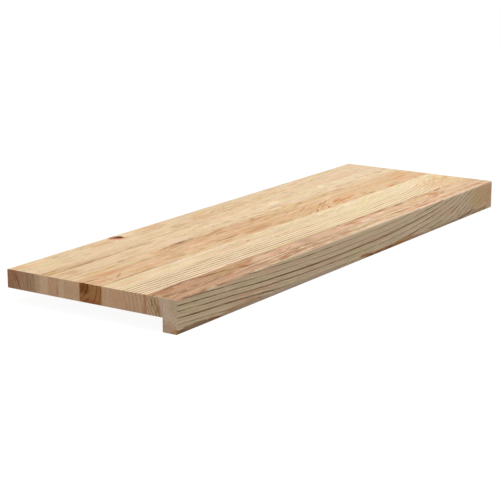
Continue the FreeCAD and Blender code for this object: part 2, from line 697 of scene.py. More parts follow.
    def fibres(self, graph: Graph, place: Place, growth: Growth) -> Grain:
        """Works out vessels, fibres, pores and rays.

        A ring begins with a sudden band of open vessels and closes into dense, paler wood.

        Args:
            graph: The material's node tree.
            place: Where the shader is.
            growth: The wood's own directions there.

        Returns:
            What the wood is made of there.
        """
        grown, through = growth.grown, growth.through
        none, full = self.SAWN_SKIN
        sawn = place.along.fade(none, full).most(place.along.fade(LENGTH - none, LENGTH - full))
        width = self.figure.width
        line = through.fade(width, width * self.LINE_FADES) * through.fade(0.0, self.LINE_RISEN)
        vessel = graph.cells(grown, self.VESSEL, self.seed)
        among = self.PORES_BETWEEN + (1.0 - self.PORES_BETWEEN) * line
        return Grain(
            place=place,
            growth=growth,
            sawn=sawn,
            planed=1.0 - sawn,
            line=line,
            late=through.fade(*self.LATE_RISE) * through.fade(*self.LATE_FALL),
            fibre=graph.noise(grown, self.FIBRE, self.seed),
            streak=graph.noise(grown, self.STREAK, self.seed),
            thread=graph.noise(grown, self.THREAD, self.seed),
            pore=vessel.fade(*self.PORE_EDGE) * among,
            ray=graph.noise(grown, self.RAY, self.seed).fade(*self.RAY_EDGE),
        )

    def ground(self, graph: Graph, grain: Grain) -> bpy.types.NodeSocket:
        """The wood's colour under its ring lines and marks.

        Args:
            graph: The material's node tree.
            grain: What the wood is made of where the shader is.

        Returns:
            The socket of the colour.
        """
        growth, sawn = grain.growth, grain.sawn
        grown = growth.grown
        share = (grain.place.along / LENGTH).fade(0.0, 1.0)
        cloud = graph.noise(grown, self.CLOUD, self.seed).fade(*self.CLOUD_EDGE)
        drift = graph.noise(grown, self.DRIFT, self.seed)
        # From the left end to the right the colour changes partly as the wood does and partly as painted
        # light, brighter towards the right.
        colour = graph.mix(share, linear(self.left), linear(self.right))
        colour = graph.mix(cloud * self.blotch, colour, linear(self.warm))
        colour = graph.mix(sawn, colour, linear(self.end))
        hue = graph.noise(grown, self.HUE, self.seed)
        hue = hue + (growth.kind - 0.5) * growth.clear * self.RING_HUE
        tinted = 1.0 - self.END_HUE_LOSS * sawn
        colour = graph.mix(hue.fade(*self.ROSY_EDGE) * tinted, colour, linear(self.ROSY), "MULTIPLY")
        colour = graph.mix(hue.fade(*self.GREEN_EDGE) * tinted, colour, linear(self.GREENISH), "MULTIPLY")
        calm = graph.noise(grown, self.CALM, self.seed).fade(*self.CALM_EDGE)
        lively = (self.LIVELY_LEAST + self.LIVELY_MORE * calm) * (1.0 - self.END_CALM * sawn) * self.grain
        tone = self.TONE_FIBRE * grain.fibre + self.TONE_STREAK * grain.streak
        tone = 1.0 + (tone + self.TONE_THREAD * grain.thread) * lively + self.TONE_DRIFT * drift
        return graph.mix(1.0, colour, graph.point(tone, tone, tone), "MULTIPLY")

    def figured(self, graph: Graph, grain: Grain, colour: Paint) -> bpy.types.NodeSocket:
        """Lays the ring lines, the pores and the rays over the wood.

        Args:
            graph: The material's node tree.
            grain: What the wood is made of where the shader is.
            colour: The colour under them.

        Returns:
            The socket of the colour with them.
        """
        figure, growth = self.figure, grain.growth
        if figure.gleam:
            dense = growth.through.fade(figure.width, figure.width + self.DENSE_RISE)
            dense = dense * growth.through.fade(1.0, self.DENSE_FALL)
            paler = dense * growth.clear * grain.planed * figure.gleam
            colour = graph.mix(paler, colour, linear(self.DENSE_TINT))
        strength = growth.clear * (figure.line * grain.planed + self.end_line * grain.sawn)
        broken = self.LINE_BASE + self.LINE_FIBRE * grain.fibre + self.LINE_STREAK * grain.streak
        twin = graph.course(grain.place.along, figure.twin) if figure.twin else self.LATE_TWIN
        second = self.LATE_STREAK * grain.streak + self.LATE_FIBRE * grain.fibre + twin
        lines = (grain.line * broken + grain.late * second * self.LATE_SHARE) * strength
        colour = graph.mix(lines, colour, linear(self.ring_tint), "MULTIPLY")
        colour = graph.mix(grain.pore * self.PORE_STRENGTH, colour, linear(self.PORE_TINT), "MULTIPLY")
        ray = grain.ray * (self.RAY_STRENGTH - self.END_RAY_LOSS * grain.sawn)
        return graph.mix(ray, colour, linear(self.RAY_TINT))

    def marks(self) -> list[tuple[Face, Mark]]:
        """Every mark with its face, in the order in which they are laid."""
        groups = {Face.TOP: self.top_marks, Face.FRONT: self.front_marks, Face.LEFT_END: self.end_marks}
        return [(face, mark) for face, marks in groups.items() for mark in marks]

    def marked(self, graph: Graph, grain: Grain, colour: Paint) -> bpy.types.NodeSocket:
        """Lays the streaks and patches over the wood, with the painted shade and painted highlight among
        them.

        Args:
            graph: The material's node tree.
            grain: What the wood is made of where the shader is.
            colour: The colour under them.

        Returns:
            The socket of the colour with them.
        """
        fray = grain.fibre * self.FRAY_FIBRE + grain.streak * self.FRAY_STREAK
        for face, mark in self.marks():
            if face is Face.TOP:
                inside = self.inside(grain.place, face, mark, fray) * grain.planed
            else:
                inside = self.inside(grain.place, face, mark, fray * self.FRAY_OFF_TOP)
            tone, lay = mark.tint.value
            colour = graph.mix(inside * mark.strength, colour, linear(tone), lay)
        return colour

    def inside(self, place: Place, face: Face, mark: Mark, fray: Wire) -> Wire:
        """How far a place is inside a mark.

        Args:
            place: Where the shader is.
            face: The face that the mark lies in.
            mark: The streak or patch.
            fray: The noise of the fibres, which frays the mark's edges.

        Returns:
            The share, 1 in the mark's middle and 0 outside it.
        """
        *ways, usual = face.value
        length, width, inward = (place.way(name) for name in ways)
        reach = mark.depth or usual
        run = (length - mark.at[0]) / mark.half[0]
        side = width - mark.at[1]
        if mark.slope:
            side = side - run * (mark.slope * mark.half[0])
        if mark.bow:
            side = side - run * run * mark.bow
        side = side / mark.half[1]
        near = (run * run + side * side + fray).fade(1.0, mark.core)
        return near * inward.fade(reach, reach * self.FULL_DEPTH)

    def joint(self, graph: Graph, place: Place, sides: Point) -> Wire:
        """How much of the glue lines shows.

        Args:
            graph: The material's node tree.
            place: Where the shader is.
            sides: The strip's back and front side, across.

        Returns:
            The share, above 0 only at a glued side.
        """
        spot = graph.point(place.along, 0.0, place.down)
        shows = graph.noise(spot, self.GLUE, self.seed).fade(*self.GLUE_SHOWN)
        glued = [side for side in sides if self.OPEN_SIDE < side < DEPTH - self.OPEN_SIDE]
        lines = [abs(place.across - side).fade(*self.GLUE_EDGE) for side in glued]
        near = lines[0]
        for line in lines[1:]:
            near = near.most(line)
        return near * (self.GLUE_LEAST + self.GLUE_MORE * shows)

    def roughness(self, grain: Grain) -> Wire:
        """The wood's roughness: open pores are rougher, and rays are smoother."""
        rough = self.ROUGH_BASE + self.ROUGH_PORE * grain.pore + self.ROUGH_FIBRE * grain.fibre
        return rough + self.ROUGH_SAWN * grain.sawn - self.ROUGH_RAY * grain.ray

    def relief(self, grain: Grain) -> Wire:
        """The wood's relief: fibres stand proud, and pores and ring lines lie deeper."""
        proud = self.RELIEF_FIBRE * grain.fibre + self.RELIEF_THREAD * grain.thread
        return proud - grain.pore - self.RELIEF_LINE * grain.line * grain.growth.clear


# The back stave: a knot at the back edge, a tan cast along it, and a line of painted shade on the back
# arris
STAVE_1_TOP = (
    # The first mark is painted shade: a darker line along the rounded back edge.
    Mark((460, 0), (430, 2.4), Tint.SMOKE, 0.6),
    Mark((380, 24), (200, 34), Tint.SMOKE, 0.16),
    Mark((3, 34), (10, 9), Tint.BLUSH, 0.3),
    Mark((10, 9), (14, 5), Tint.HONEY, 0.4),
    Mark((12, 21), (8, 2), Tint.UMBER, 0.35),
    Mark((72, 9), (12, 4), Tint.CLAY, 0.5),
    Mark((72, 30), (18, 3), Tint.CLAY, 0.4),
    Mark((110, 34), (9, 2.4), Tint.CLAY, 0.4),
    Mark((64, 38), (14, 2), Tint.CLAY, 0.4),
    Mark((158, 17), (26, 12), Tint.TAN, 0.45),
    Mark((236, 24), (14, 4), Tint.SMOKE, 0.3),
    Mark((262, 13), (34, 9), Tint.TAN, 0.45),
    Mark((270, 22), (20, 2.2), Tint.UMBER, 0.22),
    Mark((346, 23.5), (9, 2), Tint.UMBER, 0.28),
    Mark((390, 24), (9, 3), Tint.UMBER, 0.35, slope=-0.2),
    Mark((362, 22), (26, 12), Tint.HONEY, 0.5, slope=-0.2),
    Mark((300, 35), (26, 5), Tint.CLAY, 0.35),
    Mark((435, 28), (60, 16), Tint.TAN, 0.45),
    Mark((467, 26), (10, 3.5), Tint.CLAY, 0.45),
    Mark((498, 30), (24, 5), Tint.HONEY, 0.6, slope=-0.4),
    Mark((494, 46), (9, 2.4), Tint.SMOKE, 0.5),
    Mark((548, 26), (30, 6), Tint.TAN, 0.4),
    Mark((570, 24), (16, 5), Tint.HONEY, 0.4, slope=-0.3),
    Mark((610, 16), (20, 10), Tint.TAN, 0.5),
    Mark((652, 9), (20, 5), Tint.CLAY, 0.4),
    Mark((712, 26), (20, 5), Tint.BLUSH, 0.3, slope=-0.2),
    Mark((690, 43.5), (64, 5), Tint.SAND, 0.6),
    Mark((762, 35), (12, 2.4), Tint.CLAY, 0.5),
    Mark((772, 18), (20, 9), Tint.HONEY, 0.35),
    Mark((195, 13), (16, 8.6), Tint.EMBER, 0.6, slope=0.3, depth=16),
    Mark((195, 9), (13, 8.4), Tint.CHESTNUT, 0.9, slope=0.5, core=0.3, depth=14),
    Mark((200, 9), (7.6, 7.4), Tint.KNOT, 1, slope=0.4, core=0.4, depth=14),
    Mark((210, 11), (7, 5), Tint.MILK, 0.5, slope=-0.5),
)

# Its left end: a pale strip before the glue line, and brown lines
STAVE_1_END = (
    Mark((51, 11), (9, 90), Tint.BISCUIT, 1, core=0.3),
    Mark((4, 11), (8, 60), Tint.CLAY, 0.35, core=0.5),
    Mark((16.3, 12.5), (4.2, 3.6), Tint.UMBER, 0.85, slope=2.5),
    Mark((12.6, 6), (2.4, 9), Tint.CLAY, 0.6),
    Mark((25, 11), (6, 40), Tint.SAND, 0.12),
    Mark((38, 11), (8, 60), Tint.SAND, 0.22),
    Mark((33, 9), (1.5, 16), Tint.UMBER, 0.28),
    Mark((36.6, 14), (1.3, 14), Tint.UMBER, 0.32),
    Mark((39.8, 10), (1.3, 18), Tint.UMBER, 0.18),
)

# Cream wood with a brown band behind its joint at the left, and pale streaks before the next joint
STAVE_2_TOP = (
    Mark((60, 58), (110, 8.5), Tint.SMOKE, 0.4),
    Mark((18, 53.6), (46, 3.2), Tint.UMBER, 0.32),
    Mark((13, 60), (18, 4.2), Tint.HONEY, 1),
    Mark((60, 60.6), (50, 4.6), Tint.CLAY, 0.6),
    Mark((98, 61), (52, 3.6), Tint.UMBER, 0.28),
    Mark((24, 74), (28, 8.5), Tint.CLAY, 0.6),
    Mark((136, 77), (26, 3.6), Tint.CLAY, 0.35),
    Mark((185, 58.5), (38, 6), Tint.SMOKE, 0.5),
    Mark((208, 59.5), (12, 2.4), Tint.OLIVE, 0.4),
    Mark((228, 80), (44, 7), Tint.BLUSH, 0.35),
    Mark((318, 75), (6, 1.8), Tint.SMOKE, 0.7),
    Mark((345, 76), (30, 5), Tint.SMOKE, 0.25),
    Mark((388, 79), (12, 3.4), Tint.SMOKE, 0.5),
    Mark((412, 79.5), (20, 2.2), Tint.UMBER, 0.28),
    Mark((445, 63), (14, 6), Tint.CLAY, 0.35),
    Mark((462, 76), (18, 4), Tint.SMOKE, 0.5),
    Mark((478, 77), (6, 3), Tint.UMBER, 0.3),
    Mark((484, 62), (22, 8), Tint.MILK, 0.7, slope=-0.2),
    Mark((424, 52.6), (20, 2.6), Tint.MILK, 0.6),
    Mark((456, 83), (18, 2.6), Tint.MILK, 0.5),
    Mark((480, 84), (8, 3), Tint.OLIVE, 0.4),
    Mark((528, 56), (10, 4), Tint.OLIVE, 0.35),
    Mark((588, 73), (18, 8), Tint.MINT, 0.9),
    Mark((622, 58), (12, 6), Tint.MILK, 0.9),
    Mark((612, 81), (12, 5), Tint.BLUSH, 0.6),
    Mark((644, 75), (10, 3.6), Tint.OLIVE, 0.45),
    Mark((666, 77), (10, 3), Tint.CLAY, 0.45),
    Mark((640, 62), (14, 5), Tint.CLAY, 0.3),
    Mark((712, 69), (12, 3), Tint.OLIVE, 0.5),
    Mark((735, 68), (20, 4), Tint.CLAY, 0.4),
    Mark((765, 70), (20, 8), Tint.OLIVE, 0.45),
    Mark((787, 68), (9, 5), Tint.SMOKE, 0.5),
)

# Its left end: a darker stretch with a grey line
STAVE_2_END = (
    Mark((71.5, 11), (9, 90), Tint.CLAY, 0.4, core=0.7),
    Mark((77, 15), (1.8, 9), Tint.SMOKE, 0.6),
)

# Tan wood, with dark stretches along the joint behind it
STAVE_3_TOP = (
    Mark((46, 99), (52, 10), Tint.HONEY, 0.45),
    Mark((101, 90.6), (13, 2.6), Tint.UMBER, 0.75),
    Mark((128, 109.6), (16, 2), Tint.UMBER, 0.3),
    Mark((172, 104), (42, 12), Tint.TAN, 0.6),
    Mark((214, 93.6), (52, 3.8), Tint.UMBER, 0.6, bow=3.4),
    Mark((222, 92.2), (34, 2.3), Tint.EBONY, 0.42, core=0.2),
    Mark((350, 101), (190, 13), Tint.CLAY, 0.52),
    Mark((276, 98.5), (9, 2.4), Tint.OLIVE, 0.5),
    Mark((305, 94.5), (18, 3.8), Tint.OLIVE, 0.7),
    Mark((294, 104), (16, 5), Tint.CORAL, 0.5),
    Mark((386, 91.6), (12, 2.8), Tint.UMBER, 0.8),
    Mark((388, 100), (30, 9), Tint.CLAY, 0.45),
    Mark((404, 91), (17, 2.6), Tint.UMBER, 0.6),
    Mark((449, 91.6), (18, 2.8), Tint.EBONY, 0.68),
    Mark((470, 89.6), (10, 1.4), Tint.UMBER, 0.4),
    Mark((506, 91.6), (12, 2), Tint.UMBER, 0.5),
    Mark((540, 90), (16, 1.6), Tint.OLIVE, 0.4),
    Mark((570, 94.5), (9, 3.4), Tint.OLIVE, 0.5),
    Mark((614, 90.2), (16, 2), Tint.UMBER, 0.6),
    Mark((652, 105), (7, 2.6), Tint.UMBER, 0.35),
    Mark((684, 97.5), (6, 1.6), Tint.RUST, 0.6),
    Mark((768, 103), (30, 8), Tint.TAN, 0.45),
)

# The orange stave: a flaming figure past its middle, and reddish patches along its front joint
STAVE_4_TOP = (
    Mark((46, 115), (22, 6), Tint.HONEY, 0.5),
    Mark((14, 129), (26, 8.5), Tint.CORAL, 0.9),
    Mark((20, 119.2), (32, 1.7), Tint.UMBER, 0.7, slope=0.23, bow=2.2),
    Mark((51, 128.5), (12, 2.8), Tint.RUST, 0.75, slope=-0.52),
    Mark((106, 133), (48, 6.4), Tint.CORAL, 0.65),
    Mark((102, 138), (12, 2.4), Tint.RUST, 0.35),
    Mark((128, 137.5), (14, 2.6), Tint.RUST, 0.4),
    Mark((82, 141.6), (76, 1.8), Tint.UMBER, 0.5),
    Mark((88, 142.8), (13, 1.6), Tint.EBONY, 0.7),
    Mark((160, 131), (26, 6), Tint.OLIVE, 0.6),
    Mark((196, 131.5), (20, 9), Tint.BLUSH, 0.3),
    Mark((200, 133), (22, 7), Tint.RUST, 0.22),
    Mark((192, 139.4), (11, 3), Tint.RUST, 0.4),
    Mark((214, 134.6), (16, 1.9), Tint.RUST, 0.6),
    Mark((254, 124.2), (9, 2), Tint.RUST, 0.6, slope=0.2),
    Mark((279, 129.4), (30, 2.2), Tint.UMBER, 0.62, bow=-2.4),
    Mark((262, 137.4), (15, 5), Tint.CORAL, 0.6),
    Mark((344, 131), (44, 8.4), Tint.CLAY, 0.6),
    Mark((352, 129.4), (26, 3.4), Tint.UMBER, 0.12),
    Mark((331, 140), (11, 2.8), Tint.RUST, 0.4),
    Mark((392, 136.4), (26, 7), Tint.OLIVE, 0.6),
    Mark((436, 115.5), (19, 1.7), Tint.UMBER, 0.28, slope=-0.33),
    Mark((444, 124), (22, 1.6), Tint.UMBER, 0.18, slope=-0.4),
    Mark((468, 119.6), (22, 1.7), Tint.UMBER, 0.24, slope=-0.45),
    Mark((500, 124), (40, 10), Tint.TAN, 0.4),
    Mark((458, 139.8), (16, 1.8), Tint.UMBER, 0.4, slope=-0.4),
    Mark((476, 140.6), (13, 2.4), Tint.RUST, 0.9, slope=-0.5),
    Mark((488, 134), (14, 1.7), Tint.RUST, 0.45, slope=-0.5),
    Mark((508, 140.2), (13, 2.8), Tint.RUST, 0.85, slope=-0.42),
    Mark((530, 118), (24, 3.2), Tint.UMBER, 0.42, slope=-0.18, bow=2.6, core=0.2),
    Mark((400, 127), (230, 15), Tint.TAN, 0.3),
    Mark((549, 127), (23, 2.6), Tint.RUST, 0.9, slope=-0.26, bow=1.6),
    Mark((541, 136.4), (24, 5), Tint.CORAL, 0.9),
    Mark((566, 130), (32, 7), Tint.CORAL, 0.9),
    Mark((580, 141.2), (9, 2.2), Tint.RUST, 0.5),
    Mark((616, 132), (11, 6), Tint.RUST, 0.4),
    Mark((624, 140), (15, 2.6), Tint.UMBER, 0.6),
    Mark((687, 134), (12, 3.4), Tint.CORAL, 1),
    Mark((685, 140.8), (13, 2.4), Tint.RUST, 1),
    Mark((709, 134.4), (13, 4), Tint.OLIVE, 0.6),
    Mark((752, 119), (34, 8), Tint.CORAL, 0.45, slope=-0.1),
    Mark((760, 140.6), (8, 1.8), Tint.UMBER, 0.5),
    Mark((784, 140), (22, 3), Tint.HONEY, 0.6),
)

# Its left end: a dark corner behind, and a reddish foot
STAVE_4_END = (
    Mark((116, 6), (13, 11), Tint.UMBER, 0.35, core=0.3),
    Mark((118, 5), (9, 9), Tint.OLIVE, 0.8, core=0.3),
    Mark((126, 21), (18, 5), Tint.RUST, 0.5),
    Mark((130, 9), (8, 3), Tint.AMBER, 0.22, slope=-1.1),
)

# The palest stave, greenish behind and finely lined in front
STAVE_5_TOP = (
    Mark((350, 159), (210, 17), Tint.SMOKE, 0.26),
    Mark((725, 194), (110, 20), Tint.HONEY, 0.2),
    Mark((715, 194), (110, 22), Tint.BLUSH, 0.2),
    Mark((40, 156), (38, 8), Tint.MINT, 0.8),
    Mark((112, 153), (24, 7), Tint.MINT, 1),
    Mark((192, 156), (34, 8), Tint.MINT, 0.8),
    Mark((250, 153), (30, 7), Tint.MINT, 0.8),
    Mark((150, 160), (26, 6), Tint.BLUSH, 0.2),
    Mark((470, 158), (44, 8), Tint.MINT, 0.8),
    Mark((590, 160), (60, 9), Tint.MINT, 1),
    Mark((40, 192), (190, 22), Tint.BLUSH, 0.16, slope=0.03),
    Mark((276, 158.4), (9, 1.9), Tint.UMBER, 0.45, slope=-0.3),
    Mark((166, 172.2), (28, 1.6), Tint.SMOKE, 0.8),
    Mark((318, 177.4), (7, 2.4), Tint.SMOKE, 0.7),
    Mark((341, 175), (12, 1.6), Tint.CLAY, 0.6, slope=-0.2),
    Mark((388, 179), (16, 3), Tint.SMOKE, 0.6),
    Mark((290, 197.4), (150, 1.2), Tint.UMBER, 0.75, slope=0.008, bow=-1.4),
    Mark((280, 203), (150, 1.1), Tint.UMBER, 0.4, slope=0.012, bow=-1.4),
    Mark((300, 200.4), (150, 1.6), Tint.BLUSH, 0.35, slope=0.008, bow=-1.4),
    Mark((100, 205.8), (210, 1.8), Tint.BLUSH, 0.75),
    Mark((590, 174.5), (66, 4), Tint.CREAM, 0.55),
    Mark((545, 193.4), (34, 1.4), Tint.OLIVE, 0.5, slope=-0.05),
    Mark((735, 171), (20, 5), Tint.CLAY, 0.5, slope=-0.3),
    Mark((762, 191), (74, 26), Tint.BISCUIT, 0.3, core=0.2),
    Mark((762, 191), (74, 26), Tint.HONEY, 0.34, core=0.2),
    Mark((778, 175), (22, 10), Tint.HONEY, 0.5),
    Mark((792, 186), (9, 6), Tint.BLUSH, 0.5),
    Mark((762, 158), (50, 10), Tint.HONEY, 0.4),
)

# Its left end: pale upright lines, and a darker strip before the glue line
STAVE_5_END = (
    Mark((152, 12), (2.6, 20), Tint.SAND, 0.5),
    Mark((182, 11), (2.4, 6), Tint.SAND, 0.6, slope=5),
    Mark((186.5, 11), (2.4, 6), Tint.SAND, 0.5, slope=5),
    Mark((197, 10), (2.6, 7), Tint.SAND, 0.8, slope=5),
    Mark((205.5, 12), (3, 40), Tint.CLAY, 0.7),
)

# Pinkish brown at the left, with dark strokes that leave the joint behind it
STAVE_6_TOP = (
    Mark((40, 210.8), (56, 2.6), Tint.UMBER, 0.6),
    Mark((20, 216.6), (30, 5), Tint.RUST, 0.4),
    Mark((2, 215), (7, 7), Tint.OLIVE, 0.6),
    Mark((104, 215.4), (36, 2.3), Tint.UMBER, 0.75, slope=0.09),
    Mark((142, 221.5), (22, 2.4), Tint.UMBER, 0.65, slope=0.2),
    Mark((168, 227.2), (28, 2.8), Tint.RUST, 0.9, slope=0.2),
    Mark((174, 228.4), (20, 1.8), Tint.UMBER, 0.6, slope=0.2),
    Mark((64, 227.6), (5, 2.2), Tint.UMBER, 0.7, slope=1),
    Mark((11, 229), (10, 1.6), Tint.UMBER, 0.6),
    Mark((178, 219), (26, 5.5), Tint.CORAL, 1),
    Mark((197, 215.6), (6, 2.6), Tint.UMBER, 0.45),
    Mark((214, 221), (26, 8), Tint.BLUSH, 0.35),
    Mark((243, 212.6), (20, 2.2), Tint.UMBER, 0.6),
    Mark((260, 217), (8, 3), Tint.OLIVE, 0.7),
    Mark((252, 223), (11, 3), Tint.CLAY, 0.7, slope=-0.5),
    Mark((273, 222.4), (13, 2.2), Tint.UMBER, 0.75, slope=-0.25),
    Mark((247, 229), (9, 1.6), Tint.UMBER, 0.6),
    Mark((318, 219.4), (26, 7.4), Tint.UMBER, 0.4),
    Mark((319, 219.8), (18, 6), Tint.SMOKE, 0.7),
    Mark((270, 220), (90, 12), Tint.BLUSH, 0.22),
    Mark((410, 221), (200, 9), Tint.BLUSH, 0.2),
    Mark((390, 217), (16, 5), Tint.CLAY, 0.4),
    Mark((414, 210.8), (6, 1.7), Tint.EBONY, 0.55),
    Mark((436, 216.6), (24, 5), Tint.RUST, 0.6),
    Mark((434, 218.6), (10, 2.4), Tint.UMBER, 0.3),
    Mark((440, 225), (13, 3.4), Tint.CORAL, 1),
    Mark((464, 225), (16, 5), Tint.BLUSH, 0.5),
    Mark((472, 211.2), (36, 1.8), Tint.UMBER, 0.7),
    Mark((520, 212), (34, 2.6), Tint.UMBER, 0.65),
    Mark((521, 212.6), (18, 2.2), Tint.RUST, 0.6),
    Mark((511, 219), (18, 4.6), Tint.BLUSH, 0.6),
    Mark((574, 213.6), (17, 2.6), Tint.SMOKE, 1),
    Mark((636, 213), (32, 2.6), Tint.UMBER, 0.5),
    Mark((665, 214), (13, 3.2), Tint.RUST, 0.7),
    Mark((700, 210.8), (20, 2.2), Tint.UMBER, 0.85),
    Mark((664, 222), (28, 5.8), Tint.RUST, 0.5, slope=-0.05),
    Mark((664, 222), (26, 5.4), Tint.EMBER, 0.3, slope=-0.05),
    Mark((687, 225), (11, 2.6), Tint.UMBER, 0.5, slope=-0.3),
    Mark((720, 211.6), (12, 1.7), Tint.CLAY, 0.7),
    Mark((735, 222), (36, 6), Tint.BLUSH, 0.4),
    Mark((764, 215), (26, 7), Tint.CREAM, 0.4),
    Mark((775, 220), (55, 13), Tint.SMOKE, 0.2),
)

# Its left end: brown lines behind, and a fawn block in front
STAVE_6_END = (
    Mark((231, -1), (6, 25), Tint.FAWN, 1, core=0.75),
    Mark((225.5, 16), (3.6, 9), Tint.ROAN, 0.8, slope=1.2),
    Mark((215.4, 8), (1.5, 9), Tint.UMBER, 0.6),
    Mark((219.6, 7), (1.4, 9), Tint.UMBER, 0.55),
    Mark((221.6, 17), (1.6, 6), Tint.UMBER, 0.5),
)

# The nosing's top, brown at the left, with a painted highlight along its rounded front edge
NOSING_TOP = (
    Mark((30, 240), (280, 14), Tint.ROAN, 0.85, core=0.3, depth=3),
    Mark((100, 233), (120, 6), Tint.ROAN, 0.5, depth=3),
    Mark((110, 241), (150, 11), Tint.BLUSH, 0.08, depth=2.5),
    Mark((33, 234.6), (26, 1.8), Tint.UMBER, 0.7, slope=-0.06, depth=3),
    Mark((285, 231.6), (32, 1.5), Tint.UMBER, 0.6),
    Mark((362, 233.4), (62, 1.4), Tint.UMBER, 0.45),
    Mark((392, 238), (32, 1.7), Tint.CORAL, 1),
    Mark((270, 240), (90, 11), Tint.ROAN, 0.26, depth=3),
    Mark((330, 240), (150, 11), Tint.ROAN, 0.7, depth=3),
    Mark((670, 240), (140, 11), Tint.BLUSH, 0.14, depth=3),
    Mark((778, 240), (60, 11), Tint.ROAN, 0.36, depth=3),
    Mark((68, 249), (28, 3.4), Tint.ROAN, 0.6, depth=2.5),
    Mark((540, 235.6), (110, 1.5), Tint.RUST, 0.9),
    Mark((630, 233), (70, 1.5), Tint.RUST, 0.9, slope=-0.07),
    Mark((640, 242.6), (150, 1.4), Tint.RUST, 0.8, slope=-0.03),
    Mark((620, 240), (220, 8), Tint.CORAL, 0.8, depth=4),
    # A pale strip on the rounded front edge: a painted highlight where the arris catches the light.
    Mark((590, 248.6), (260, 1.4), Tint.BLUSH, 0.55, depth=1.6),
    Mark((776, 241), (34, 1.6), Tint.RUST, 0.7),
)

# Its front: pale wood over the arch of one dark line, and a band of varied tones along the foot
NOSING_FRONT = (
    Mark((380, 3), (260, 9), Tint.SAND, 0.55),
    Mark((150, 8.4), (90, 2.6), Tint.SAND, 0.35, slope=0.045),
    Mark((360, 14), (250, 2.6), Tint.SAND, 0.5, bow=-8.4, core=0.4),
    Mark((400, 20.8), (260, 1.9), Tint.UMBER, 0.42, slope=-0.013, bow=-9.7, core=0.3),
    Mark((50, 30), (110, 4.6), Tint.CREAM, 0.42, slope=0.03, core=0.2),
    Mark((6, 42), (86, 8.6), Tint.BARK, 0.7, core=0.75),
    Mark((140, 35.6), (56, 4), Tint.SMOKE, 0.5),
    Mark((560, 40.5), (190, 4.8), Tint.TAN, 0.6, core=0.3),
    Mark((450, 39), (36, 3.2), Tint.UMBER, 0.3),
    Mark((582, 39), (20, 3), Tint.UMBER, 0.3),
    Mark((662, 39), (40, 3.6), Tint.UMBER, 0.42),
    Mark((694, 38.6), (26, 3), Tint.UMBER, 0.4),
    Mark((400, 41), (600, 6), Tint.SMOKE, 0.4, core=0.2),
    Mark((72, 37), (14, 2.6), Tint.RUST, 0.7, slope=0.05),
    Mark((78, 38.4), (12, 1.8), Tint.UMBER, 0.7, slope=0.04),
    Mark((160, 37.4), (96, 3.6), Tint.SMOKE, 0.8),
    Mark((250, 38.4), (16, 1.4), Tint.UMBER, 0.7),
    Mark((330, 37), (100, 3), Tint.SMOKE, 0.6),
    Mark((250, 39.5), (175, 5.4), Tint.DUSK, 0.68, core=0.4),
    Mark((422, 35.8), (22, 2.2), Tint.RUST, 0.9, slope=0.05),
    Mark((424, 37), (20, 2.4), Tint.UMBER, 0.5, slope=0.05),
    Mark((470, 38), (56, 3.6), Tint.CLAY, 1),
    Mark((502, 38.8), (66, 4.8), Tint.UMBER, 0.66),
    Mark((524, 37.2), (34, 4.4), Tint.AMBER, 0.4),
    Mark((546, 37.4), (24, 4.2), Tint.RUST, 0.6),
    Mark((512, 37), (30, 3.4), Tint.HONEY, 1),
    Mark((572, 38), (18, 2.6), Tint.RUST, 0.6),
    Mark((650, 38), (90, 3.6), Tint.CLAY, 0.5),
    Mark((706, 36.4), (26, 3.4), Tint.UMBER, 0.65, slope=-0.06),
    Mark((726, 34), (26, 1.7), Tint.UMBER, 0.8, slope=-0.08),
    Mark((752, 37), (44, 4), Tint.SMOKE, 0.8),
    Mark((620, 39), (115, 5.4), Tint.DUSK, 0.34, core=0.4),
    Mark((782, 16), (70, 34), Tint.TAN, 0.7),
)

# Its left end: tan at the foot with one amber spot, and greenish above
NOSING_END = (
    Mark((247, 37.4), (5.2, 3.6), Tint.AMBER, 0.8),
    Mark((241, 34), (12, 10), Tint.TAN, 0.5),
    Mark((246, 8), (10, 16), Tint.OLIVE, 0.32),
    Mark((231.5, 32), (2.4, 10), Tint.SMOKE, 0.5),
)


